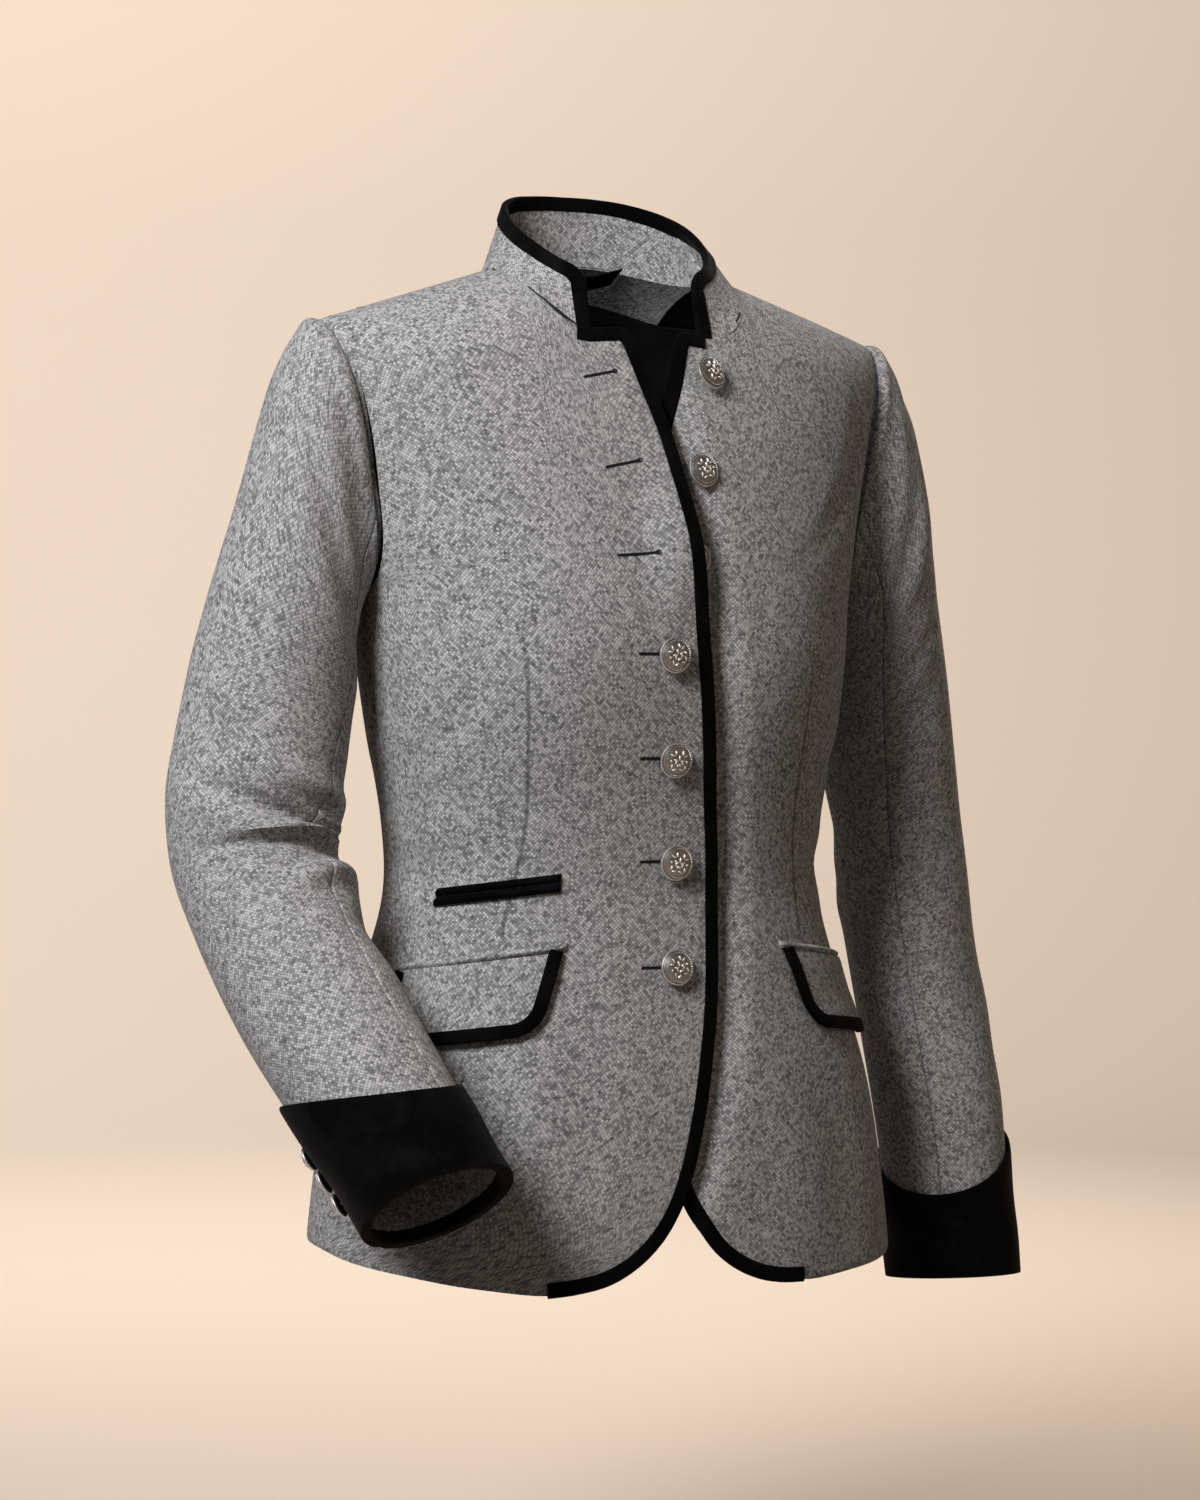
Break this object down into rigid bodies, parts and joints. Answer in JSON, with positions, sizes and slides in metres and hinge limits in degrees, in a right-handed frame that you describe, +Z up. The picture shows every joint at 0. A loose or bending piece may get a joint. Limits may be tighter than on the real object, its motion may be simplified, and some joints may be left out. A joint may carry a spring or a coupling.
{
  "type": "structured wool jacket",
  "caption": "Fitted grey melange wool jacket with a stand collar, black velvet bindings and cuffs, bound flap pockets and domed metal buttons, in its worn shape.",
  "frame": {"origin": "The middle of the neck opening, 9 mm above the neck ends of the shoulder seams, where the wearer's shoulders hold the jacket", "axes": "+Z up, -Y to the front of the jacket, +X to the wearer's left"},
  "size_m": [0.592, 0.3242, 0.7193],
  "materials": {
    "wool": "grey melange wool, fine diagonal hopsack weave",
    "velvet": "black cotton velvet",
    "metal": "antique silver, cast relief",
    "lining": "dark charcoal satin lining"
  },
  "bodies": {
    "root": {"front_right": "wool", "front_left": "wool", "back_right": "wool", "back_left": "wool", "sleeve_right_top": "wool", "sleeve_right_under": "wool", "sleeve_left_top": "wool", "sleeve_left_under": "wool", "collar": "wool", "flap_right": "wool", "flap_left": "wool", "flap_jet_right": "wool", "flap_jet_left": "wool", "back_neck_facing": "wool", "collar_binding": "velvet", "front_binding_right": "velvet", "front_binding_left": "velvet", "flap_binding_right": "velvet", "flap_binding_left": "velvet", "welt_upper": "velvet", "welt_lower": "velvet", "cuff_right": "velvet", "cuff_left": "velvet", "hanger_loop": "velvet", "button_1": "metal", "button_2": "metal", "button_3": "metal", "button_4": "metal", "button_5": "metal", "button_6": "metal", "button_7": "metal", "cuff_button_right_1": "metal", "cuff_button_right_2": "metal", "cuff_button_right_3": "metal", "cuff_button_left_1": "metal", "cuff_button_left_2": "metal", "cuff_button_left_3": "metal", "back_lining": "lining"}
  },
  "joints": []
}
